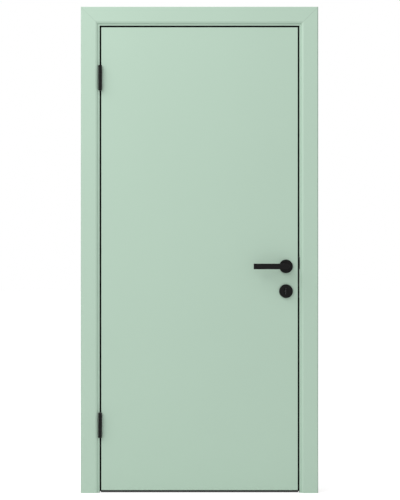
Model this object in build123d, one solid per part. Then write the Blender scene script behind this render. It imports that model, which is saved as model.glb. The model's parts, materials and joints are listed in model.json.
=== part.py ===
from build123d import *
import os
from math import radians, tan

# A painted flush door with its lining, casings, hinges, lock and lever handles.
# Millimetres. X runs to the right, Y away from the viewer, Z up.
# The origin is on the wall face of the hinge side jamb, at floor level, halfway through the lining.

# Leaf
leaf_width = 890
leaf_height = 2100
leaf_thickness = 40
leaf_gap = 6.2  # between the leaf's edges and the lining
floor_gap = 3  # under the leaf
skin_thickness = 3.2
edging_thickness = 1.8
edging_round = 0.5
channel_height = 9.6  # of the metal channel on the leaf's foot, as seen from the front
channel_web = 2
lock_edge_bevel = 2  # degrees, so that the closing edge clears the lining as it swings

# Lining
jamb_thickness = 32  # from the wall face to the face beside the leaf
jamb_depth = 100
jamb_round = 1

# Stops planted on the lining behind the leaf
stop_width = 13
stop_depth = 32
stop_gap = 5  # from the leaf's back
stop_round = 2

# Casings
reveal = 9.4  # strip of lining left showing beside a casing
bevel_width = 8.3
face_width = 66.5
casing_thickness = 8
casing_land = 4.5  # low inner edge of the casing, where the bevel ends
casing_inner_round = 0.8
casing_outer_round = 2.5
tongue_offset = 5
tongue_thickness = 5
tongue_depth = 10
tongue_clearance = 0.3
relief_margin = 9  # flat border left on each side of the casing's hollow back
relief_depth = 1.5

# Seals in the corner between lining and stop, with a fin along the lining beside the leaf
seal_width = 9
seal_clearance = 0.4  # to the leaf's back
seal_round = 2
seal_fin = 1
seal_setback = 1.5  # of the fin behind the lining's front edge
seal_foot_gap = 2  # above the floor

# Hinges
hinge_height = 113.5
top_hinge_drop = 230  # from the leaf's top to the hinge's middle
bottom_hinge_rise = 303  # from the leaf's foot to the hinge's middle
hinge_standoff = 9  # from the leaf's front to the pin's axis
knuckle_radius = 8.5
knuckle_gap = 0.3
knuckle_chamfer = 1.2
knuckle_floor = 4  # solid foot under the pin
pin_radius = 4
pin_clearance = 0.05
pin_head_height = 4
pin_end_gap = 0.5
plate_thickness = 2.5
plate_depth = 30
plate_corner = 6

# Handle
handle_height = 1022.5  # of the lever's axis above the floor
backset = 55  # from the leaf's closing edge to the lever's axis
lever_length = 147.5  # from the axis to the square tip
lever_width = 25.2
lever_thickness = 10
lever_chamfer = 2
lever_projection = 60
neck_radius = 10
neck_clearance = 0.3
neck_end_gap = 0.5
rose_radius = 30.8
rose_thickness = 9
rose_chamfer = 1.2
spindle_width = 8
spindle_clearance = 0.1
spindle_engagement = 22  # length of spindle in each lever's neck
socket_floor = 0.5  # space past a spindle's end

# Thumb turn in front and its release at the back
turn_drop = 112  # from the lever's axis down to the turn's
turn_length = 27.5
turn_thickness = 5.5
turn_depth = 16
turn_corner = 4
turn_chamfer = 1.2
turn_standoff = 5.5  # from the rose to the grip
turn_neck_radius = 5
turn_neck_overlap = 4  # of the neck along the grip
turn_spindle_width = 5
turn_spindle_engagement = 12
release_radius = 8
release_slot_width = 2.5
release_slot_length = 12
release_slot_depth = 2.5
release_engagement = 5  # of the turn's spindle in the release

# Lock
case_thickness = 16
case_depth = 85
case_above_spindle = 42
case_below_turn = 30
case_clearance = 0.5
body_bore_radius = 13  # of the holes through the leaf behind the roses
follower_clearance = 0.4
faceplate_width = 20
faceplate_thickness = 3
faceplate_margin = 28  # beyond the lock case at each end
faceplate_corner = 6
bolt_clearance = 0.3
bolt_recess = 0.4  # below the faceplate
bolt_length = 40
latch_rise = 14.5  # of the latch above the lever's axis
latch_height = 24
latch_thickness = 12
dead_bolt_rise = 4  # of the dead bolt above the turn's axis
dead_bolt_height = 28
dead_bolt_thickness = 9

# Strike
strike_width = 24
strike_thickness = 1.2
strike_margin = 20  # beyond the bolt holes at each end
strike_corner = 4
strike_hole_clearance = 1.5
strike_pocket_depth = 15
lip_height = 54.5
lip_projection = 1.5  # of the lip beyond the lining's front

# Places worked out from the sizes above
opening_width = leaf_width + 2 * leaf_gap
opening_height = floor_gap + leaf_height + leaf_gap
opening_left = jamb_thickness
opening_right = opening_left + opening_width
front_y = -jamb_depth / 2
back_y = jamb_depth / 2
leaf_left = opening_left + leaf_gap
leaf_right = leaf_left + leaf_width
leaf_bottom = floor_gap
leaf_top = leaf_bottom + leaf_height
leaf_front = front_y
leaf_back = leaf_front + leaf_thickness
leaf_middle = (leaf_front + leaf_back) / 2
stop_face = leaf_back + stop_gap
hinge_x = opening_left + leaf_gap / 2
hinge_y = leaf_front - hinge_standoff
neck_foot = leaf_front - neck_end_gap
handle_x = leaf_right - backset
turn_height = handle_height - turn_drop
latch_z = handle_height + latch_rise
dead_bolt_z = turn_height + dead_bolt_rise
case_bottom = turn_height - case_below_turn
case_top = handle_height + case_above_spindle
strike_foot = dead_bolt_z - dead_bolt_height / 2 - strike_margin
strike_top = latch_z + latch_height / 2 + strike_margin


def block(x_range, y_range, z_range):
    """Box between two limits along each axis."""
    size = [high - low for low, high in (x_range, y_range, z_range)]
    middle = [(low + high) / 2 for low, high in (x_range, y_range, z_range)]
    return Pos(*middle) * Box(*size)


def prism(points, z_range):
    """Upright prism on an outline drawn in plan."""
    low, high = z_range
    return Pos(0, 0, low) * extrude(make_face(Polyline(*points, close=True)), high - low)


def facing(x, y, z):
    """Plane that faces the viewer, with its x to the right and its y up."""
    return Plane(origin=(x, y, z), x_dir=(1, 0, 0), z_dir=(0, -1, 0))


def to_back(piece):
    """The same piece on the leaf's other face."""
    return mirror(piece, about=Plane(origin=(0, leaf_middle, 0), z_dir=(0, 1, 0)))


# Door surround: each section is drawn with x outward from the doorway's edge
def frame_leg(section):
    """Upright of the right side, standing on the floor and mitred at the head."""
    upright = extrude(section, opening_height + section.bounding_box().max.X)
    mitre = Plane(origin=(0, 0, opening_height), z_dir=(-1, 0, 1))
    upright = split(upright, bisect_by=mitre, keep=Keep.BOTTOM)
    return Pos(opening_right, 0, 0) * upright


def to_left(piece):
    """The same piece on the other side of the doorway."""
    middle = (opening_left + opening_right) / 2
    return mirror(piece, about=Plane(origin=(middle, 0, 0), z_dir=(1, 0, 0)))


def frame_head(section):
    """Horizontal piece over the doorway, mitred at both ends."""
    reach = section.bounding_box().max.X
    beam = Rot(0, -90, 0) * extrude(section, opening_width + 2 * reach)
    beam = Pos(opening_right + reach, 0, opening_height) * beam
    left_mitre = Plane(origin=(opening_left, 0, opening_height), z_dir=(1, 0, 1))
    right_mitre = Plane(origin=(opening_right, 0, opening_height), z_dir=(-1, 0, 1))
    beam = split(beam, bisect_by=left_mitre, keep=Keep.TOP)
    return split(beam, bisect_by=right_mitre, keep=Keep.TOP)


def rounded_section(corners):
    """Section with its own rounding at each corner, given as x, y and radius."""
    points = [(x, y) for x, y, radius in corners]
    radii = [radius for x, y, radius in corners]
    return make_face(FilletPolyline(*points, radius=radii, close=True))


def casing_section(side):
    """Flat face with a bevelled inner edge, a rounded outer edge, a hollow back and a tongue.
    The side is -1 for the front and 1 for the back."""
    outer = reveal + bevel_width + face_width
    edge_y = front_y if side < 0 else back_y
    tongue = reveal + tongue_offset
    hollow = tongue + tongue_thickness + relief_margin
    profile = [
        (reveal, 0, 0),
        (reveal, casing_land, casing_inner_round),
        (reveal + bevel_width, casing_thickness, casing_inner_round),
        (outer, casing_thickness, casing_outer_round),
        (outer, 0, 0),
        (outer - relief_margin, 0, 0),
        (outer - relief_margin - relief_depth, relief_depth, 0),
        (hollow + relief_depth, relief_depth, 0),
        (hollow, 0, 0),
        (tongue + tongue_thickness, 0, 0),
        (tongue + tongue_thickness, -tongue_depth, 0),
        (tongue, -tongue_depth, 0),
        (tongue, 0, 0),
    ]
    return rounded_section([(x, edge_y + side * proud, r) for x, proud, r in profile])


def tongue_groove(side):
    """Corners of the groove that takes a casing's tongue."""
    tongue = reveal + tongue_offset
    low = tongue - tongue_clearance
    high = tongue + tongue_thickness + tongue_clearance
    edge_y = front_y if side < 0 else back_y
    floor_y = edge_y - side * (tongue_depth + tongue_clearance)
    return [(low, edge_y, 0), (low, floor_y, 0), (high, floor_y, 0), (high, edge_y, 0)]


def jamb_section():
    """Lining board with a groove in each edge for a casing."""
    corners = [(0, front_y, jamb_round)]
    corners += tongue_groove(-1)
    corners += [(jamb_thickness, front_y, 0), (jamb_thickness, back_y, 0)]
    corners += reversed(tongue_groove(1))
    corners += [(0, back_y, jamb_round)]
    return rounded_section(corners)


def stop_section():
    """Bead fixed to the lining's face behind the leaf, with rounded arrises."""
    return rounded_section([
        (0, stop_face, 0),
        (-stop_width, stop_face, stop_round),
        (-stop_width, stop_face + stop_depth, stop_round),
        (0, stop_face + stop_depth, 0),
    ])


def seal_section():
    """Soft strip in the corner between lining and stop, with a thin fin along the lining."""
    nose = leaf_back + seal_clearance
    fin_front = front_y + seal_setback
    return rounded_section([
        (0, stop_face, 0),
        (0, fin_front, 0),
        (-seal_fin, fin_front, 0),
        (-seal_fin, nose, 0),
        (-seal_width, nose, seal_round),
        (-seal_width, stop_face, 0),
    ])


# Hinges
def knuckle(low, high, foot_chamfer=0):
    """Barrel of a hinge about the pin's axis, before its bore."""
    barrel = Pos(hinge_x, hinge_y, (low + high) / 2) * Cylinder(knuckle_radius, high - low)
    if foot_chamfer:
        barrel = chamfer(barrel.edges().sort_by(Axis.Z)[0], foot_chamfer)
    return barrel


def knuckle_limits(middle):
    """Heights of a hinge's three knuckles, from the bottom one to the top one."""
    low = middle - hinge_height / 2
    length = (hinge_height - pin_head_height - 2 * knuckle_gap) / 3
    step = length + knuckle_gap
    return [(low + step * i, low + step * i + length) for i in range(3)]


def pin_bore(middle):
    """Hole for the pin through the upper knuckles and into the foot of the bottom one."""
    low = middle - hinge_height / 2 + knuckle_floor
    high = middle + hinge_height / 2
    return Pos(hinge_x, hinge_y, (low + high) / 2) * Cylinder(pin_radius + pin_clearance, high - low)


def hinge_plate(face_x, direction, middle):
    """Flat plate let into an edge, from the front back, with its far corners rounded.
    The direction is -1 into the jamb and 1 into the leaf."""
    x_range = sorted((face_x, face_x + direction * plate_thickness))
    z_range = (middle - hinge_height / 2, middle + hinge_height / 2)
    plate = block(x_range, (leaf_front, leaf_front + plate_depth), z_range)
    far_corners = plate.edges().filter_by(Axis.X).group_by(Axis.Y)[-1]
    return fillet(far_corners, plate_corner)


def hinge_arm(face_x, direction, z_range):
    """Bridge from a plate to the knuckle in front of it."""
    x_range = sorted((face_x, face_x + direction * plate_thickness))
    return block(x_range, (hinge_y, leaf_front), z_range)


def frame_hinge(middle):
    """Jamb's half of a hinge: the plate with the bottom and top knuckles."""
    bottom, centre, top = knuckle_limits(middle)
    half = hinge_plate(opening_left, -1, middle)
    half += hinge_arm(opening_left, -1, bottom) + hinge_arm(opening_left, -1, top)
    half += knuckle(*bottom, foot_chamfer=knuckle_chamfer) + knuckle(*top)
    return half - pin_bore(middle)


def leaf_hinge(middle):
    """Leaf's half of a hinge: the plate with the middle knuckle."""
    bottom, centre, top = knuckle_limits(middle)
    half = hinge_plate(leaf_left, 1, middle) + hinge_arm(leaf_left, 1, centre)
    return half + knuckle(*centre) - pin_bore(middle)


def hinge_pin(middle):
    """Pin with a chamfered head that rests on the top knuckle."""
    foot = middle - hinge_height / 2 + knuckle_floor + pin_end_gap
    head_top = middle + hinge_height / 2
    head_foot = head_top - pin_head_height
    head = Pos(hinge_x, hinge_y, (head_foot + head_top) / 2) * Cylinder(knuckle_radius, pin_head_height)
    head = chamfer(head.edges().sort_by(Axis.Z)[-1], knuckle_chamfer)
    rod = Pos(hinge_x, hinge_y, (foot + head_foot) / 2) * Cylinder(pin_radius, head_foot - foot)
    return head + rod


hinge_heights = {"top": leaf_top - top_hinge_drop, "bottom": leaf_bottom + bottom_hinge_rise}


# Lock edge of the leaf, which leans inward towards the back
def lock_edge(y):
    """Place of the leaf's closing edge at a given depth."""
    return leaf_right - (y - leaf_front) * tan(radians(lock_edge_bevel))


def edge_strip(y_range, inset_range, z_range):
    """Strip that follows the closing edge between two distances behind it."""
    near, far = inset_range
    y0, y1 = y_range
    return prism([
        (lock_edge(y0) - near, y0),
        (lock_edge(y1) - near, y1),
        (lock_edge(y1) - far, y1),
        (lock_edge(y0) - far, y0),
    ], z_range)


def centred(middle, width):
    """Limits of a width about its middle."""
    return (middle - width / 2, middle + width / 2)


def faceplate_blank():
    """Plate along the closing edge with rounded corners, before its bolt holes."""
    z_range = (case_bottom - faceplate_margin, case_top + faceplate_margin)
    plate = edge_strip(centred(leaf_middle, faceplate_width), (0, faceplate_thickness), z_range)
    return fillet(plate.edges().filter_by(Axis.X), faceplate_corner)


def bolt(middle_z, height, thickness):
    """Bolt drawn back into the lock, a little below the faceplate."""
    y_range = centred(leaf_middle, thickness)
    return edge_strip(y_range, (bolt_recess, bolt_length), centred(middle_z, height))


def bolt_space(middle_z, height, thickness):
    """Space for a bolt through the faceplate and into the case."""
    y_range = centred(leaf_middle, thickness + 2 * bolt_clearance)
    z_range = centred(middle_z, height + 2 * bolt_clearance)
    return edge_strip(y_range, (-bolt_clearance, bolt_length + bolt_clearance), z_range)


def bolt_spaces():
    """Spaces for the latch and the dead bolt."""
    latch = bolt_space(latch_z, latch_height, latch_thickness)
    return latch + bolt_space(dead_bolt_z, dead_bolt_height, dead_bolt_thickness)


def case_blank(clearance=0):
    """Lock case behind the faceplate, or with a clearance, its mortise in the leaf."""
    y_range = centred(leaf_middle, case_thickness + 2 * clearance)
    inset_range = (faceplate_thickness, faceplate_thickness + case_depth + clearance)
    z_range = (case_bottom - clearance, case_top + clearance)
    return edge_strip(y_range, inset_range, z_range)


def follower(height, square_width):
    """Round hole through the leaf in which a square spindle turns."""
    radius = square_width * 2 ** 0.5 / 2 + follower_clearance
    return extrude(facing(handle_x, leaf_back, height) * Circle(radius), leaf_thickness)


def lock_case():
    """Case with a hole for each spindle and room for the bolts."""
    case = case_blank() - follower(handle_height, spindle_width)
    return case - follower(turn_height, turn_spindle_width) - bolt_spaces()


def faceplate():
    """Plate over the lock in the closing edge."""
    return faceplate_blank() - bolt_spaces()


def leaf_bores():
    """Round holes behind the roses, through the whole leaf."""
    hole = Circle(body_bore_radius)
    bores = extrude(facing(handle_x, leaf_back, handle_height) * hole, leaf_thickness)
    return bores + extrude(facing(handle_x, leaf_back, turn_height) * hole, leaf_thickness)


def leaf_cutouts():
    """All that is cut out of the leaf for the hinges and the lock."""
    cutouts = [hinge_plate(leaf_left, 1, middle) for middle in hinge_heights.values()]
    return cutouts + [faceplate_blank(), case_blank(case_clearance), leaf_bores()]


# Leaf
def leaf_layer(y_range, z_range):
    """Layer of the leaf between the edgings, over a range of its thickness."""
    y0, y1 = y_range
    left = leaf_left + edging_thickness
    return prism([
        (left, y0),
        (lock_edge(y0) - edging_thickness, y0),
        (lock_edge(y1) - edging_thickness, y1),
        (left, y1),
    ], z_range)


def cut_layer(y_range, foot_z):
    """Layer from a height up to the edging on top, cut out for the hinges and the lock."""
    layer = leaf_layer(y_range, (foot_z, leaf_top - edging_thickness))
    for cutout in leaf_cutouts():
        layer -= cutout
    return layer


def leaf_skin(outer_y, inner_y):
    """Skin of one face, standing on the channel at the leaf's foot."""
    return cut_layer(sorted((outer_y, inner_y)), leaf_bottom + channel_height)


def leaf_core():
    """Core between the skins, standing in the channel on the leaf's foot."""
    y_range = (leaf_front + skin_thickness, leaf_back - skin_thickness)
    return cut_layer(y_range, leaf_bottom + channel_web)


def foot_channel():
    """Channel that wraps the leaf's foot, flush with the skins."""
    outer = leaf_layer((leaf_front, leaf_back), (leaf_bottom, leaf_bottom + channel_height))
    inner_range = (leaf_front + skin_thickness, leaf_back - skin_thickness)
    return outer - leaf_layer(inner_range, (leaf_bottom + channel_web, leaf_bottom + channel_height))


def hinge_edging():
    """Edging of the hinge side, rounded at the leaf's corners and cut for the hinge plates."""
    x0 = leaf_left
    x1 = leaf_left + edging_thickness
    section = rounded_section([
        (x0, leaf_front, edging_round),
        (x1, leaf_front, 0),
        (x1, leaf_back, 0),
        (x0, leaf_back, edging_round),
    ])
    edging = Pos(0, 0, leaf_bottom) * extrude(section, leaf_height)
    for cutout in leaf_cutouts():
        edging -= cutout
    return edging


def lock_edging():
    """Edging of the closing side, which leans with the edge, cut for the faceplate."""
    section = rounded_section([
        (lock_edge(leaf_front), leaf_front, edging_round),
        (lock_edge(leaf_back), leaf_back, edging_round),
        (lock_edge(leaf_back) - edging_thickness, leaf_back, 0),
        (lock_edge(leaf_front) - edging_thickness, leaf_front, 0),
    ])
    edging = Pos(0, 0, leaf_bottom) * extrude(section, leaf_height)
    for cutout in leaf_cutouts():
        edging -= cutout
    return edging


def top_edging():
    """Edging of the leaf's top, between the side edgings."""
    return leaf_layer((leaf_front, leaf_back), (leaf_top - edging_thickness, leaf_top))


# Handle, thumb turn and roses
def neck(height, radius, end_y):
    """Round shaft from inside the rose out to a given depth."""
    return extrude(facing(handle_x, neck_foot, height) * Circle(radius), neck_foot - end_y)


def socket(height, width, depth):
    """Square hole for a spindle's end in the foot of a neck."""
    side = width + 2 * spindle_clearance
    return extrude(facing(handle_x, neck_foot, height) * Rectangle(side, side), depth + socket_floor)


def lever():
    """Flat bar with a square tip and a round end over its neck, with a socket for the spindle."""
    bar_back = leaf_front - lever_projection + lever_thickness
    outline = Pos(-lever_length / 2, 0) * Rectangle(lever_length, lever_width)
    outline += Circle(lever_width / 2)
    bar = extrude(facing(handle_x, bar_back, handle_height) * outline, lever_thickness)
    bar = chamfer(bar.faces().sort_by(Axis.Y)[0].edges(), lever_chamfer)
    bar += neck(handle_height, neck_radius, bar_back)
    return bar - socket(handle_height, spindle_width, spindle_engagement)


def thumb_turn():
    """Upright flat grip with rounded corners on a round neck."""
    grip_back = leaf_front - rose_thickness - turn_standoff
    middle = (handle_x, grip_back - turn_depth / 2, turn_height)
    side = Plane(origin=middle, x_dir=(0, 1, 0), z_dir=(1, 0, 0))
    outline = side * RectangleRounded(turn_depth, turn_length, turn_corner)
    grip = extrude(outline, turn_thickness / 2, both=True)
    rims = grip.edges().group_by(Axis.X)
    grip = chamfer(rims[0] + rims[-1], turn_chamfer)
    turn = grip + neck(turn_height, turn_neck_radius, grip_back - turn_neck_overlap)
    return turn - socket(turn_height, turn_spindle_width, turn_spindle_engagement)


def release_plug():
    """Round plug in the back rose with a slot across it, so that a coin can turn the spindle."""
    face_y = leaf_front - rose_thickness
    slot = facing(handle_x, face_y, turn_height) * Rectangle(release_slot_width, release_slot_length)
    plug = neck(turn_height, release_radius, face_y) - extrude(slot, -release_slot_depth)
    return to_back(plug - socket(turn_height, turn_spindle_width, release_engagement))


def square_bar(height, width, front_engagement, back_engagement):
    """Spindle through the lock, with a length of it in the neck at each end."""
    y_range = (neck_foot - front_engagement, leaf_back + neck_end_gap + back_engagement)
    return block(centred(handle_x, width), y_range, centred(height, width))


def rose(height, shaft_radius):
    """Round cover on the leaf's front with a chamfered rim and a hole for a shaft."""
    disc = extrude(facing(handle_x, leaf_front, height) * Circle(rose_radius), rose_thickness)
    disc = chamfer(disc.faces().sort_by(Axis.Y)[0].edges(), rose_chamfer)
    hole = facing(handle_x, leaf_front, height) * Circle(shaft_radius + neck_clearance)
    return disc - extrude(hole, rose_thickness)


# Strike in the lock side jamb
def strike_blank():
    """Plate let into the jamb, with a lip at the latch that reaches past the front edge."""
    x_range = (opening_right, opening_right + strike_thickness)
    plate = block(x_range, centred(leaf_middle, strike_width), (strike_foot, strike_top))
    plate = fillet(plate.edges().filter_by(Axis.X), strike_corner)
    return plate + block(x_range, (front_y - lip_projection, leaf_middle), centred(latch_z, lip_height))


def strike_hole(middle_z, height, thickness, x_range):
    """Hole for a bolt in the strike or the jamb behind it."""
    y_range = centred(leaf_middle, thickness + 2 * strike_hole_clearance)
    return block(x_range, y_range, centred(middle_z, height + 2 * strike_hole_clearance))


def strike_holes(x_range):
    """Both bolt holes over a range of depth into the jamb."""
    latch = strike_hole(latch_z, latch_height, latch_thickness, x_range)
    return latch + strike_hole(dead_bolt_z, dead_bolt_height, dead_bolt_thickness, x_range)


def strike_plate():
    """Strike with its two bolt holes."""
    return strike_blank() - strike_holes((opening_right, opening_right + strike_thickness))


def lock_side_jamb():
    """Jamb with the strike's recess and the pockets that take the bolts."""
    pocket_floor = opening_right + strike_thickness + strike_pocket_depth
    jamb = frame_leg(jamb_section()) - strike_blank()
    return jamb - strike_holes((opening_right, pocket_floor))


def hinge_side_jamb():
    """Jamb with a recess for each hinge plate."""
    jamb = to_left(frame_leg(jamb_section()))
    for middle in hinge_heights.values():
        jamb -= hinge_plate(opening_left, -1, middle)
    return jamb


def seal_leg():
    """Upright seal of the right side, which ends just above the floor."""
    foot = Plane(origin=(0, 0, seal_foot_gap), z_dir=(0, 0, 1))
    return split(frame_leg(seal_section()), bisect_by=foot, keep=Keep.TOP)


def hinge_side_seal():
    """Seal with its fin cut away over the hinge plates."""
    seal = to_left(seal_leg())
    for middle in hinge_heights.values():
        z_range = centred(middle, hinge_height)
        seal -= block((opening_left, opening_left + seal_fin), (front_y, front_y + plate_depth), z_range)
    return seal


def lock_side_seal():
    """Seal with its fin cut away over the strike."""
    y_range = (front_y, leaf_middle + strike_width / 2)
    cut = block((opening_right - seal_fin, opening_right), y_range, (strike_foot, strike_top))
    return seal_leg() - cut


def all_pieces():
    """Every piece under its name."""
    pieces = {
        "jamb_hinge_side": hinge_side_jamb(),
        "jamb_lock_side": lock_side_jamb(),
        "jamb_head": frame_head(jamb_section()),
        "strike_plate": strike_plate(),
        "stop_hinge_side": to_left(frame_leg(stop_section())),
        "stop_lock_side": frame_leg(stop_section()),
        "stop_head": frame_head(stop_section()),
        "seal_hinge_side": hinge_side_seal(),
        "seal_lock_side": lock_side_seal(),
        "seal_head": frame_head(seal_section()),
    }
    for name, side in (("front", -1), ("back", 1)):
        section = casing_section(side)
        pieces[f"{name}_casing_left"] = to_left(frame_leg(section))
        pieces[f"{name}_casing_right"] = frame_leg(section)
        pieces[f"{name}_casing_head"] = frame_head(section)
    for name, middle in hinge_heights.items():
        pieces[f"{name}_hinge_frame_half"] = frame_hinge(middle)
        pieces[f"{name}_hinge_leaf_half"] = leaf_hinge(middle)
        pieces[f"{name}_hinge_pin"] = hinge_pin(middle)
    lever_axis = (handle_height, spindle_width)
    turn_axis = (turn_height, turn_spindle_width)
    pieces |= {
        "leaf_core": leaf_core(),
        "leaf_front_skin": leaf_skin(leaf_front, leaf_front + skin_thickness),
        "leaf_back_skin": leaf_skin(leaf_back, leaf_back - skin_thickness),
        "edging_hinge_side": hinge_edging(),
        "edging_lock_side": lock_edging(),
        "edging_top": top_edging(),
        "foot_channel": foot_channel(),
        "lock_case": lock_case(),
        "lock_faceplate": faceplate(),
        "latch_bolt": bolt(latch_z, latch_height, latch_thickness),
        "dead_bolt": bolt(dead_bolt_z, dead_bolt_height, dead_bolt_thickness),
        "lever_front": lever(),
        "lever_back": to_back(lever()),
        "spindle": square_bar(*lever_axis, spindle_engagement, spindle_engagement),
        "lever_rose_front": rose(handle_height, neck_radius),
        "lever_rose_back": to_back(rose(handle_height, neck_radius)),
        "thumb_turn": thumb_turn(),
        "release_plug": release_plug(),
        "turn_spindle": square_bar(*turn_axis, turn_spindle_engagement, release_engagement),
        "key_rose_front": rose(turn_height, turn_neck_radius),
        "key_rose_back": to_back(rose(turn_height, release_radius)),
    }
    return pieces


os.makedirs("parts", exist_ok=True)
for name, piece in all_pieces().items():
    export_step(piece, f"parts/{name}.step")
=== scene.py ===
# %% [markdown]
# # A painted flush door
#
# The door is a flat leaf hung on two black hinges in a painted lining, with a bevelled casing round
# it, a black lever handle and a thumb turn below it. The construction comes as finished solids, in
# metres, with X to the right, Y away from us and Z up. This script adds what a camera needs to see
# it well: paint, board, rubber and metal finishes, the screws, the light and the camera.

# %% Load the solids
import json
import math

import bpy
import numpy as np
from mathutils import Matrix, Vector


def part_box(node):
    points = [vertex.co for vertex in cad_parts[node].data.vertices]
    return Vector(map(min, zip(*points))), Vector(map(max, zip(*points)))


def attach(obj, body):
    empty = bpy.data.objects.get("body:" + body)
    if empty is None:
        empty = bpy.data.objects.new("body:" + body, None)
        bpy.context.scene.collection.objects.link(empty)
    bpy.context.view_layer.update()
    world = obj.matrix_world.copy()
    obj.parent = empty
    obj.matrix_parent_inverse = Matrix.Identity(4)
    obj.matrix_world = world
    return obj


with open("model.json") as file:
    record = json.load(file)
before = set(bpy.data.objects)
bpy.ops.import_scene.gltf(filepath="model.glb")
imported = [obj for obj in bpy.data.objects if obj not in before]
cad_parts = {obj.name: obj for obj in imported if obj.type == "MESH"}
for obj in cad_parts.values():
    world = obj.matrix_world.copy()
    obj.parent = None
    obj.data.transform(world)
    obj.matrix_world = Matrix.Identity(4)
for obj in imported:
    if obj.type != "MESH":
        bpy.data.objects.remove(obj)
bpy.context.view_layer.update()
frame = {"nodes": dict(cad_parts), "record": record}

# %% [markdown]
# ## Sizes read from the solids
#
# A screw, a mitre line or a patch of raw board has to sit on the piece that carries it, so its place
# is read from the solids' own boxes and is never typed in twice. A box gives a lowest and a highest
# corner.

# %% Read the boxes of the pieces that carry details
casing_low, casing_left_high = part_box("front_casing_left")
casing_right_low, casing_right_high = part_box("front_casing_right")
casing_head_low, casing_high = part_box("front_casing_head")
head_low, head_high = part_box("jamb_head")
lining_back = head_high[1]
lining_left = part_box("jamb_hinge_side")[0][0]
lining_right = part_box("jamb_lock_side")[1][0]
opening_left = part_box("stop_hinge_side")[0][0]
opening_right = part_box("stop_lock_side")[1][0]
leaf_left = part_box("edging_hinge_side")[0][0]
leaf_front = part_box("leaf_front_skin")[0][1]
leaf_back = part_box("leaf_back_skin")[1][1]
leaf_middle = (leaf_front + leaf_back) / 2
print("lining from", lining_left, "to", lining_right)
print("leaf thickness", round(leaf_back - leaf_front, 4))

# %% [markdown]
# ## The camera
#
# The photograph looks straight at the door, with both sides of the casing upright and parallel. So
# the camera looks level along Y. Its place and lens follow from three things in the picture: where
# the casing's left and right edges and its top fall. The distance only shows in how much nearer
# parts grow, and a little over six metres gives the same small step at the casing's bevel.

# %% Place the camera from the casing's edges in the picture
PICTURE_WIDTH, PICTURE_HEIGHT = 400, 500
CASING_LEFT_PX, CASING_RIGHT_PX, CASING_TOP_PX = 80.77, 318.27, 6.64
CAMERA_DISTANCE = 6.2
SENSOR_HEIGHT = 36.0

metres_per_pixel = (casing_right_high[0] - casing_low[0]) / (CASING_RIGHT_PX - CASING_LEFT_PX)
camera_x = casing_low[0] + (PICTURE_WIDTH / 2 - CASING_LEFT_PX) * metres_per_pixel
camera_z = casing_high[2] - (PICTURE_HEIGHT / 2 - CASING_TOP_PX) * metres_per_pixel

camera_data = bpy.data.cameras.new("door_camera")
camera_data.sensor_fit = "VERTICAL"
camera_data.sensor_height = SENSOR_HEIGHT
camera_data.lens = SENSOR_HEIGHT * CAMERA_DISTANCE / (PICTURE_HEIGHT * metres_per_pixel)
camera = bpy.data.objects.new("door_camera", camera_data)
camera.location = (camera_x, casing_low[1] - CAMERA_DISTANCE, camera_z)
camera.rotation_euler = (math.radians(90), 0, 0)
bpy.context.collection.objects.link(camera)
bpy.context.scene.camera = camera
bpy.context.scene.view_settings.view_transform = "Standard"
print("millimetres per pixel", round(metres_per_pixel * 1000, 3), "lens", round(camera_data.lens, 1))

# %% [markdown]
# ## Shader maths as plain expressions
#
# A finish is a sum of small patterns. Written as nodes one by one it is hard to read, so a `Value`
# wraps one socket, and `2 * noise + 1` adds the Math nodes for it. Everything that isn't arithmetic
# comes from the one method `node`, which sets a node's own settings first and then its sockets.

# %% The wrapper for a socket
class Value:
    """One output socket of a material's nodes, which takes part in sums and products."""

    def __init__(self, tree, socket=None):
        self.tree = tree
        self.socket = socket

    def node(self, kind, settings=(), sockets=(), out=0):
        """Adds a node with its settings, then its sockets' values or links, and gives an output."""
        made = self.tree.nodes.new(kind)
        for key, setting in dict(settings).items():
            setattr(made, key, setting)
        for key, value in dict(sockets).items():
            if isinstance(value, Value):
                self.tree.links.new(value.socket, made.inputs[key])
            else:
                made.inputs[key].default_value = value
        return Value(self.tree, made.outputs[out] if len(made.outputs) else None)

    def maths(self, operation, first, second=0.0):
        """One Math node on two values or numbers."""
        return self.node("ShaderNodeMath", {"operation": operation}, {0: first, 1: second})

    def __add__(self, other):
        return self.maths("ADD", self, other)

    def __sub__(self, other):
        return self.maths("SUBTRACT", self, other)

    def __rsub__(self, other):
        return self.maths("SUBTRACT", other, self)

    def __mul__(self, other):
        return self.maths("MULTIPLY", self, other)

    def __gt__(self, other):
        return self.maths("GREATER_THAN", self, other)

    def __lt__(self, other):
        return self.maths("LESS_THAN", self, other)

    def either(self, other):
        """The larger of two masks."""
        return self.maths("MAXIMUM", self, other)

    def size(self):
        """The value without its sign."""
        return self.maths("ABSOLUTE", self)

    __radd__ = __add__
    __rmul__ = __mul__


def start_material(name):
    """An empty node material and a value to build it from."""
    material = bpy.data.materials.new(name)
    material.use_nodes = True
    material.node_tree.nodes.clear()
    return material, Value(material.node_tree)


def finish_material(start, shader):
    """Connects the shader to the material's output."""
    start.node("ShaderNodeOutputMaterial", sockets={"Surface": shader})


print("shader wrapper ready")

# %% [markdown]
# ## Helpers for patterns
#
# All patterns are placed by Object coordinates, which are metres in the door's own frame. A noise
# of scale 400 then has features about two and a half millimetres across, whatever piece it is on.
# The colours are written as linear values.

# %% Coordinates, noise, mixing and bump
def coordinates(start):
    """The point on the surface, in metres."""
    return start.node("ShaderNodeTexCoord", out="Object")


def stretched(start, factors):
    """The point with each axis multiplied, which draws a pattern out along the small ones."""
    return start.node("ShaderNodeMapping", sockets={"Vector": coordinates(start), "Scale": factors})


def axes(start):
    """The point's x, y and z as three values."""
    point = coordinates(start)
    return [start.node("ShaderNodeSeparateXYZ", sockets={"Vector": point}, out=i) for i in range(3)]


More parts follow.
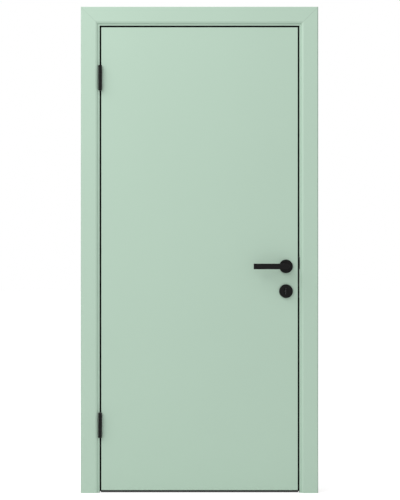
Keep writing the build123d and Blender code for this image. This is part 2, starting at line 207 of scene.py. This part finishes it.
def noise(start, scale, detail=2.0, roughness=0.5, vector=None):
    """Soft random pattern between 0 and 1."""
    vector = vector or coordinates(start)
    sockets = {"Vector": vector, "Scale": scale, "Detail": detail, "Roughness": roughness}
    return start.node("ShaderNodeTexNoise", sockets=sockets)


def blended(start, factor, first, second):
    """Two colours mixed by a factor."""
    sockets = {0: factor, 6: rgba(first), 7: rgba(second)}
    return start.node("ShaderNodeMix", {"data_type": "RGBA"}, sockets, out=2)


def rgba(colour):
    """A colour with an alpha of 1, or a link left as it is."""
    return colour if isinstance(colour, Value) else (*colour, 1.0)


def lightened(colour, factor):
    """The colour with each part multiplied."""
    return tuple(part * factor for part in colour)


def between(low_and_high, pattern):
    """A value that goes from low to high as the pattern goes from 0 to 1."""
    low, high = low_and_high
    return low + (high - low) * pattern


def bumped(start, height, depth, strength=1.0):
    """A normal tilted by a height pattern, whose 0 to 1 stands for a depth in metres."""
    sockets = {"Height": height, "Distance": depth, "Strength": strength}
    return start.node("ShaderNodeBump", sockets=sockets)


print("pattern helpers ready")

# %% [markdown]
# ## Paint
#
# The leaf and its surround are sprayed with the same satin mint paint. A sprayed face isn't a
# perfect mirror plane: it has a fine orange peel, a barely uneven sheen and a faint broad change of
# tone. The wall sides of the lining and the backs of the casings stay raw fibreboard, because the
# wall hides them, and so do the pockets behind the strike plate. They are found by their place: of
# the lining what lies deeper than a thin skin round the opening, and of a casing what lies no deeper
# than its hollow back, apart from the skin of its inner and outer edge.

# %% Where the boards stay raw
SKIN_OF_WALL_SIDE = 0.0008
SKIN_OF_OPENING = 0.0016
CASING_HOLLOW = 0.0015
HOLLOW_MARGIN = 0.0002


def under_arch(x, z, left, right, top):
    """1 between two upright lines and below a level one."""
    return (x > left) * (x < right) * (z < top)


def wall_side_of_lining(start):
    """1 against the wall and inside the pockets, 0 on the painted faces and edges."""
    x, y, z = axes(start)
    skin = SKIN_OF_OPENING
    near_opening = under_arch(x, z, opening_left - skin, opening_right + skin, head_low[2] + skin)
    between_edges = y.size() < lining_back - SKIN_OF_WALL_SIDE
    return between_edges * (1.0 - near_opening)


def wall_side_of_casing(start):
    """1 on a casing's back and tongue, 0 on its painted faces."""
    x, y, z = axes(start)
    skin = SKIN_OF_WALL_SIDE
    within_outer_edge = under_arch(
        x, z, casing_low[0] + skin, casing_right_high[0] - skin, casing_high[2] - skin)
    near_opening = under_arch(
        x, z, casing_left_high[0] - skin, casing_right_low[0] + skin, casing_head_low[2] + skin)
    at_back = y.size() < lining_back + CASING_HOLLOW + HOLLOW_MARGIN
    return at_back * within_outer_edge * (1.0 - near_opening)


print("painted skin at the wall side", SKIN_OF_WALL_SIDE, "and round the opening", SKIN_OF_OPENING)

# %% [markdown]
# A casing's head and sides meet in mitres at 45 degrees. The paint doesn't quite close such a joint,
# and the shade in its hairline gap, which the solids don't have, is painted as a thin darker line
# from the outer to the inner corner. The outer sides are sanded round before painting, which makes
# the right one darker and the left one lighter than the face. Both follow from how far a point is in
# from
# the sides and down from the top: on the mitre the two are the same, and the sanded strip is what
# lies close to a side. The solids have a small round there, and the bump carries it on over the
# strip, so that the shade is as wide as on the real casing.

# %% Painted mitre shade and sanded edges of the casings
MITRE_WIDTH = 0.0016
SANDED_WIDTH = 0.004


def from_outer_edges(start):
    """How far the point is in from the nearest side of the casings, and down from their top."""
    x, _, z = axes(start)
    middle = (casing_low[0] + casing_right_high[0]) / 2
    half_width = (casing_right_high[0] - casing_low[0]) / 2
    return half_width - (x - middle).size(), casing_high[2] - z


def mitre_shade_line(start):
    """Painted joint shade: 1 where both distances are the same, falling to 0 at half its width."""
    from_side, from_top = from_outer_edges(start)
    return (1.0 - (from_side - from_top).size() * (2 / MITRE_WIDTH)).either(0.0)


def sanded_edge(start):
    """1 at the outer sides, falling to 0 over a narrow strip."""
    from_side, _ = from_outer_edges(start)
    return (1.0 - from_side * (1 / SANDED_WIDTH)).either(0.0)


print("mitre line", MITRE_WIDTH, "sanded strip", SANDED_WIDTH)

# %% [markdown]
# Three patterns make the paint: broad clouds of tone, smaller patches of gloss, and the fine orange
# peel in the bump. Where the masks say so, raw board with its fibres takes the paint's place, and
# along the mitres the paint is darkened with painted shade.

# %% Painted and raw board in one material
MINT = (0.466, 0.621, 0.508)
# A shaded copy of the mint, painted along the mitres as the shade in their hairline gaps.
MITRE_SHADE = (0.10, 0.14, 0.11)
MITRE_SHADE_STRENGTH = 0.6
RAW_BOARD = (0.36, 0.245, 0.145)
RAW_BOARD_DARK = (0.25, 0.165, 0.095)
PEEL_DEPTH = 0.00006
SANDED_DROP = 0.006
CLOUD_SCALE = 2.2
CLOUD_SPREAD = 0.015
SATIN_SCALE = 40.0
SATIN_ROUGHNESS = (0.40, 0.50)
PEEL_SCALE = 420.0
FIBRE_SCALE = 900.0
RAW_EXTRA_ROUGHNESS = 0.4
PAINT_SPECULAR = 0.35


def paint_material(name, raw_mask=None, mitre_shade_and_sanding=False):
    """Satin mint paint over fibreboard, which shows raw where the mask is 1."""
    material, start = start_material(name)
    cloud = noise(start, CLOUD_SCALE)
    colour = blended(
        start, cloud, lightened(MINT, 1 - CLOUD_SPREAD), lightened(MINT, 1 + CLOUD_SPREAD))
    roughness = between(SATIN_ROUGHNESS, noise(start, SATIN_SCALE, detail=3.0))
    height = noise(start, PEEL_SCALE)
    if raw_mask:
        raw = raw_mask(start)
        fibres = noise(start, FIBRE_SCALE, detail=5.0, roughness=0.7)
        board = blended(start, fibres, RAW_BOARD_DARK, RAW_BOARD)
        colour = blended(start, raw, colour, board)
        roughness = roughness + RAW_EXTRA_ROUGHNESS * raw
        height = height + raw * fibres
    # Along the mitres the colour is darkened towards MITRE_SHADE: painted shade of the joint's
    # hairline gap.
    if mitre_shade_and_sanding:
        colour = blended(start, MITRE_SHADE_STRENGTH * mitre_shade_line(start), colour, MITRE_SHADE)
        height = height - (SANDED_DROP / PEEL_DEPTH) * sanded_edge(start)
    shader = start.node("ShaderNodeBsdfPrincipled", sockets={
        "Base Color": colour,
        "Roughness": roughness,
        "Normal": bumped(start, height, PEEL_DEPTH, strength=0.6),
        "Specular IOR Level": PAINT_SPECULAR,
    })
    finish_material(start, shader)
    return material


leaf_paint = paint_material("leaf_paint")
lining_paint = paint_material("lining_paint", wall_side_of_lining)
casing_paint = paint_material("casing_paint", wall_side_of_casing, mitre_shade_and_sanding=True)
print("paint", leaf_paint.name, lining_paint.name, casing_paint.name)

# %% [markdown]
# ## The other finishes
#
# - The leaf's core is wood chips pressed to a board. Cells of a Voronoi pattern, drawn out, stand
#   for the chips.
# - The black edging is plastic band with a dull, slightly pebbled face.
# - The foot channel is dark anodised aluminium, with fine drawing lines along it.
# - The seals are soft black rubber.
# - Handle, roses, hinges and strike have a black powder coat, which is matt and finely grained. A
#   little sheen lights the edges that turn towards the lamp.
# - The screws are zinc plated black, which shines a little more than the coat.
# - The bolts, the lock case and the spindles are plain steel, with lines from rolling.

# %% The core of pressed chips
CHIP_SCALE = 260.0
CHIP_STRETCH = (1.0, 1.0, 0.35)
CHIP_DARK = (0.34, 0.22, 0.12)
CHIP_LIGHT = (0.62, 0.46, 0.28)
CHIP_ROUGHNESS = (0.75, 0.95)
CHIP_DEPTH = 0.0002
CHIP_SPECULAR = 0.2


def core_material():
    """Pressed chips in browns from dark to light, one tone to a cell."""
    material, start = start_material("chip_core")
    point = stretched(start, CHIP_STRETCH)
    cells = start.node(
        "ShaderNodeTexVoronoi", sockets={"Vector": point, "Scale": CHIP_SCALE}, out="Color")
    chip = start.node("ShaderNodeSeparateColor", sockets={"Color": cells})
    shader = start.node("ShaderNodeBsdfPrincipled", sockets={
        "Base Color": blended(start, chip, CHIP_DARK, CHIP_LIGHT),
        "Roughness": between(CHIP_ROUGHNESS, chip),
        "Normal": bumped(start, chip, CHIP_DEPTH),
        "Specular IOR Level": CHIP_SPECULAR,
    })
    finish_material(start, shader)
    return material


chip_core = core_material()
print("core", chip_core.name)

# %% Edging, rubber, powder coat and black zinc
GLOSS_SCALE = 30.0
BLACK_SPREAD = 0.15
SHEEN_ROUGHNESS = 0.3


def dull_black(name, colour, grain, depth, roughness, specular, sheen=0.0):
    """Near black plastic, rubber or coating with a fine grain."""
    material, start = start_material(name)
    speck = noise(start, grain, detail=3.0, roughness=0.6)
    broad = noise(start, GLOSS_SCALE)
    tone = blended(
        start, broad, lightened(colour, 1 - BLACK_SPREAD), lightened(colour, 1 + BLACK_SPREAD))
    shader = start.node("ShaderNodeBsdfPrincipled", sockets={
        "Base Color": tone,
        "Roughness": between(roughness, broad),
        "Normal": bumped(start, speck, depth),
        "Specular IOR Level": specular,
        "Sheen Weight": sheen,
        "Sheen Roughness": SHEEN_ROUGHNESS,
    })
    finish_material(start, shader)
    return material


edging_plastic = dull_black(
    "edging_plastic", (0.003, 0.003, 0.003), grain=1500.0, depth=0.00004,
    roughness=(0.5, 0.62), specular=0.08)
seal_rubber = dull_black(
    "seal_rubber", (0.002, 0.002, 0.002), grain=900.0, depth=0.00006,
    roughness=(0.65, 0.8), specular=0.06)
black_coat = dull_black(
    "black_coat", (0.0042, 0.0041, 0.0041), grain=2600.0, depth=0.00002,
    roughness=(0.34, 0.46), specular=0.14, sheen=0.4)
black_zinc = dull_black(
    "black_zinc", (0.008, 0.008, 0.009), grain=2000.0, depth=0.00001,
    roughness=(0.24, 0.34), specular=0.5)
print("black finishes", edging_plastic.name, seal_rubber.name, black_coat.name, black_zinc.name)

# %% Channel and lock steel
METAL_SPREAD = 0.2
LINE_DEPTH = 0.00002


def drawn_metal(name, colour, lines_along, metallic, roughness):
    """Metal with fine lines: the pattern is drawn out by small factors along them."""
    material, start = start_material(name)
    lines = noise(start, 1.0, detail=4.0, roughness=0.6, vector=stretched(start, lines_along))
    tone = blended(
        start, lines, lightened(colour, 1 - METAL_SPREAD), lightened(colour, 1 + METAL_SPREAD))
    shader = start.node("ShaderNodeBsdfPrincipled", sockets={
        "Base Color": tone,
        "Metallic": metallic,
        "Roughness": between(roughness, lines),
        "Normal": bumped(start, lines, LINE_DEPTH),
    })
    finish_material(start, shader)
    return material


channel_metal = drawn_metal(
    "channel_metal", (0.022, 0.022, 0.022), lines_along=(4.0, 2600.0, 2600.0),
    metallic=0.6, roughness=(0.4, 0.55))
lock_steel = drawn_metal(
    "lock_steel", (0.36, 0.355, 0.345), lines_along=(900.0, 900.0, 8.0),
    metallic=1.0, roughness=(0.28, 0.42))
print("metals", channel_metal.name, lock_steel.name)

# %% [markdown]
# ## Giving each solid its finish
#
# Each solid already has a material slot. Its own mesh isn't touched: only the material in its slot
# is exchanged, by the kind of piece.

# %% Assign the finishes
finish_of_slot = {
    "frame_paint": lining_paint,
    "casing_paint": casing_paint,
    "leaf_paint": leaf_paint,
    "core_board": chip_core,
    "edging": edging_plastic,
    "channel": channel_metal,
    "seal_rubber": seal_rubber,
    "black_metal": black_coat,
    "black_faceplate": black_coat,
    "lock_steel": lock_steel,
}
for part in frame["record"]["subparts"]:
    solid = frame["nodes"][part["node"]]
    solid.data.materials.clear()
    solid.data.materials.append(finish_of_slot[part["material_slot"]])

# %% [markdown]
# ## Screws
#
# Each hinge half is held by three countersunk screws, and the faceplate and the strike by two. The
# head is turned on a lathe and then has a cross pressed into it. Here it is one surface of two
# parameters: the angle round the axis, and the way along the profile from the middle of the face,
# over the rim and down the cone to its tip. The cross only lowers the points of the slightly domed
# face.

# %% The cross in a screw's face
CROSS_ARM = 0.0024
CROSS_HALF_WIDTH = 0.00042
CROSS_SIDE = 0.00021
CROSS_END = 0.00084
CROSS_DEPTH = 0.0013


def cross(x, y):
    """Depth of the cross at x, y: full within both arms' width, with sides and ends that slope
    up, and none past a circle through the arms' ends."""
    nearest = np.minimum(np.abs(x), np.abs(y))
    along = np.maximum(np.abs(x), np.abs(y))
    across = np.clip((CROSS_HALF_WIDTH + CROSS_SIDE - nearest) / CROSS_SIDE, 0, 1)
    ends = np.clip((CROSS_ARM - along) / CROSS_END, 0, 1)
    return CROSS_DEPTH * across * ends * (np.hypot(x, y) < CROSS_ARM)


print("cross is", 2 * CROSS_ARM, "long and", CROSS_DEPTH, "deep")

# %% A countersunk screw as one turned surface
SCREW_RADIUS = 0.0039
SCREW_CONE = 0.0028
SCREW_PROUD = 0.00025
FACE_EDGE = 0.94 * SCREW_RADIUS
FACE_START = 0.0001
FACE_RINGS = 22
RIM_HEIGHT = 0.3 * SCREW_PROUD
TIP_RADIUS = 0.4 * SCREW_RADIUS
DOME_FALL = 0.5
TURN_STEPS = 64


def turned_surface(radii, heights, steps):
    """Grid of points: radius times the cosine and sine of the angle, and the profile's height
    less the depth of the cross there."""
    turn = np.linspace(0, 2 * np.pi, steps, endpoint=False)
    x = radii[:, None] * np.cos(turn)[None, :]
    y = radii[:, None] * np.sin(turn)[None, :]
    z = heights[:, None] - cross(x, y)
    return np.stack([x, y, z], axis=-1)


def closed_faces(rings, steps):
    """Quads between rings, and a fan of triangles round the pole at each end."""
    ring = np.arange(rings - 1)[:, None] * steps
    step = np.arange(steps)[None, :]
    after = (step + 1) % steps
    quads = np.stack(
        [ring + step, ring + steps + step, ring + steps + after, ring + after], axis=-1)
    first_pole, last_pole = rings * steps, rings * steps + 1
    last = (rings - 1) * steps
    start_fan = np.stack([np.full(steps, first_pole), step[0], after[0]], axis=-1)
    end_fan = np.stack([np.full(steps, last_pole), last + after[0], last + step[0]], axis=-1)
    return quads.reshape(-1, 4), np.concatenate([start_fan, end_fan])


def screw_surface():
    """Points and faces of a screw that looks along +Z, with its seat at z = 0. The profile is a
    face that falls with the square of the radius, a rim and a cone. The poles come last."""
    face = np.linspace(FACE_START, FACE_EDGE, FACE_RINGS)
    radii = np.concatenate([face, [SCREW_RADIUS, SCREW_RADIUS, TIP_RADIUS]])
    dome = SCREW_PROUD * (1 - DOME_FALL * (face / SCREW_RADIUS) ** 2)
    heights = np.concatenate([dome, [RIM_HEIGHT, 0.0, -SCREW_CONE]])
    grid = turned_surface(radii, heights, TURN_STEPS)
    poles = np.array([[0, 0, SCREW_PROUD - CROSS_DEPTH], [0, 0, -SCREW_CONE]])
    return np.concatenate([grid.reshape(-1, 3), poles]), *closed_faces(len(radii), TURN_STEPS)


print("points of one screw", len(screw_surface()[0]))

# %% [markdown]
# The screw is made once, looking up. To place it, its points are turned so that up becomes the
# direction in which its plate looks, and are then moved. The screws of one plate are one piece,
# which rides on the plate's own body, so they swing with the leaf or stay with the lining.

# %% Turning and placing screws
SMOOTH_DEGREES = 40


def turned_to(points, direction):
    """The points with their +Z carried to a direction, by three unit vectors at right angles:
    the direction, one at right angles to it and to Y, and one at right angles to both."""
    axis = np.asarray(direction, float) / np.linalg.norm(direction)
    side = np.cross([0.0, 1.0, 0.0], axis)
    side /= np.linalg.norm(side)
    return points @ np.stack([side, np.cross(axis, side), axis])


def add_mesh(name, points, faces, material, body):
    """A piece from points and faces, which moves with a body."""
    mesh = bpy.data.meshes.new(name)
    mesh.from_pydata(points.tolist(), [], faces)
    mesh.materials.append(material)
    mesh.polygons.foreach_set("use_smooth", np.ones(len(mesh.polygons), bool))
    mesh.set_sharp_from_angle(angle=math.radians(SMOOTH_DEGREES))
    piece = bpy.data.objects.new(name, mesh)
    bpy.context.collection.objects.link(piece)
    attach(piece, body)


def add_screws(name, places, direction, body):
    """Several screws as one piece, each turned to the same direction."""
    points, quads, triangles = screw_surface()
    turned = turned_to(points, direction)
    all_points = (np.asarray(places)[:, None, :] + turned).reshape(-1, 3)
    first_point = np.arange(len(places))[:, None, None] * len(points)
    all_faces = (first_point + quads).reshape(-1, 4).tolist()
    all_faces += (first_point + triangles).reshape(-1, 3).tolist()
    add_mesh(name, all_points, all_faces, black_zinc, body)


print("screws ready to place, smooth up to", SMOOTH_DEGREES, "degrees")

# %% Screws of the hinges
SCREW_SPREAD = 0.38
for where in ("top", "bottom"):
    for half, face_x, outward, body in (
        ("frame", opening_left, 1, "frame"),
        ("leaf", leaf_left, -1, "leaf"),
    ):
        low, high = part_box(f"{where}_hinge_{half}_half")
        height = high[2] - low[2]
        middle = (high[2] + low[2]) / 2
        plate_y = (leaf_front + high[1]) / 2
        places = [(face_x, plate_y, middle + n * SCREW_SPREAD * height) for n in (-1, 0, 1)]
        add_screws(f"{where}_hinge_{half}_screws", places, (outward, 0, 0), body)
print("hinge screws placed")

# %% [markdown]
# The closing edge of the leaf leans back a little, so that it clears the lining as it swings. Its
# slope follows from how much wider the front skin is than the back skin. The faceplate's screws
# lean with it, and the strike's stand straight in the lining.

# %% Screws of the faceplate and the strike
PLATE_SCREW_INSET = 0.010
plate_low, plate_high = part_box("lock_faceplate")
front_edge_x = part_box("leaf_front_skin")[1][0]
back_edge_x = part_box("leaf_back_skin")[1][0]
lock_lean = (front_edge_x - back_edge_x) / (leaf_back - leaf_front)
lock_face_x = plate_high[0] - (plate_high[1] - plate_low[1]) / 2 * lock_lean
faceplate_places = [
    (lock_face_x, leaf_middle, plate_low[2] + PLATE_SCREW_INSET),
    (lock_face_x, leaf_middle, plate_high[2] - PLATE_SCREW_INSET),
]
add_screws("faceplate_screws", faceplate_places, (1, lock_lean, 0), "leaf")

strike_low, strike_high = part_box("strike_plate")
strike_places = [
    (opening_right, leaf_middle, strike_low[2] + PLATE_SCREW_INSET),
    (opening_right, leaf_middle, strike_high[2] - PLATE_SCREW_INSET),
]
add_screws("strike_screws", strike_places, (-1, 0, 0), "frame")
print("lock screws placed, edge leans", round(math.degrees(math.atan(lock_lean)), 2), "degrees")

# %% [markdown]
# ## Floor and background
#
# The backdrop is plain white, but it must not flood the door with light. So the white is only for
# rays that come from the camera, a reflection or glass. For those, the floor adds a white glow to a
# pale face that still takes the door's shadow, so the shadow stays.

# %% The floor
FLOOR_HALF = 30.0
FLOOR_COLOUR = (0.80, 0.80, 0.80)
SEEN_FLOOR_COLOUR = (0.40, 0.40, 0.40)
FLOOR_GLOW = 0.76


def seen_rays(start):
    """1 for rays from the camera, a reflection or glass, 0 for light on its way to a surface."""
    kinds = [start.node("ShaderNodeLightPath", out=f"Is {kind} Ray")
             for kind in ("Camera", "Glossy", "Transmission")]
    return kinds[0].either(kinds[1]).either(kinds[2])


def diffuse(start, colour):
    """Plain matt shader."""
    return start.node("ShaderNodeBsdfDiffuse", sockets={"Color": rgba(colour)})


floor_material, floor_start = start_material("pale_floor")
glow = floor_start.node(
    "ShaderNodeEmission", sockets={"Color": (1, 1, 1, 1), "Strength": FLOOR_GLOW})
seen_floor = floor_start.node("ShaderNodeAddShader", sockets={
    0: diffuse(floor_start, SEEN_FLOOR_COLOUR), 1: glow})
floor_shader = floor_start.node("ShaderNodeMixShader", sockets={
    0: seen_rays(floor_start), 1: diffuse(floor_start, FLOOR_COLOUR), 2: seen_floor})
finish_material(floor_start, floor_shader)

floor_mesh = bpy.data.meshes.new("floor")
corners = [(-FLOOR_HALF, -FLOOR_HALF, 0), (FLOOR_HALF, -FLOOR_HALF, 0),
           (FLOOR_HALF, FLOOR_HALF, 0), (-FLOOR_HALF, FLOOR_HALF, 0)]
floor_mesh.from_pydata(corners, [], [(0, 1, 2, 3)])
floor_mesh.materials.append(floor_material)
floor = bpy.data.objects.new("floor", floor_mesh)
bpy.context.collection.objects.link(floor)
print("floor half width", FLOOR_HALF)

# %% The world: even light, and white where it is seen
WORLD_LIGHT = 0.68

world = bpy.data.worlds.new("studio")
world.use_nodes = True
world.node_tree.nodes.clear()
sky = Value(world.node_tree)
brightness = WORLD_LIGHT + (1.0 - WORLD_LIGHT) * seen_rays(sky)
background = sky.node(
    "ShaderNodeBackground", sockets={"Color": (1, 1, 1, 1), "Strength": brightness})
sky.node("ShaderNodeOutputWorld", sockets={"Surface": background})
bpy.context.scene.world = world
print("world light", WORLD_LIGHT)

# %% [markdown]
# ## The lamp
#
# The bevels tell where the light comes from. The left and the top one are darker than the face, and
# the right one is lighter, so the main light stands to the upper left, well round to the side. It
# is a large soft square: the shadows of the handle and the casing are short and blurred.

# %% One large soft lamp to the upper left
LAMP_DIRECTION = (-0.55, -0.445, 0.71)
LAMP_DISTANCE = 4.5
LAMP_SIZE = 4.2
LAMP_POWER = 143.0

door_centre = np.array([(lining_left + lining_right) / 2, leaf_front, casing_high[2] / 2])
lamp_place = door_centre + LAMP_DISTANCE * np.array(LAMP_DIRECTION)
lamp_data = bpy.data.lights.new("soft_lamp", "AREA")
lamp_data.shape = "SQUARE"
lamp_data.size = LAMP_SIZE
lamp_data.energy = LAMP_POWER
lamp = bpy.data.objects.new("soft_lamp", lamp_data)
lamp.location = lamp_place
lamp.rotation_euler = Vector(door_centre - lamp_place).to_track_quat("-Z", "Y").to_euler()
bpy.context.collection.objects.link(lamp)
print("lamp at", np.round(lamp_place, 2))
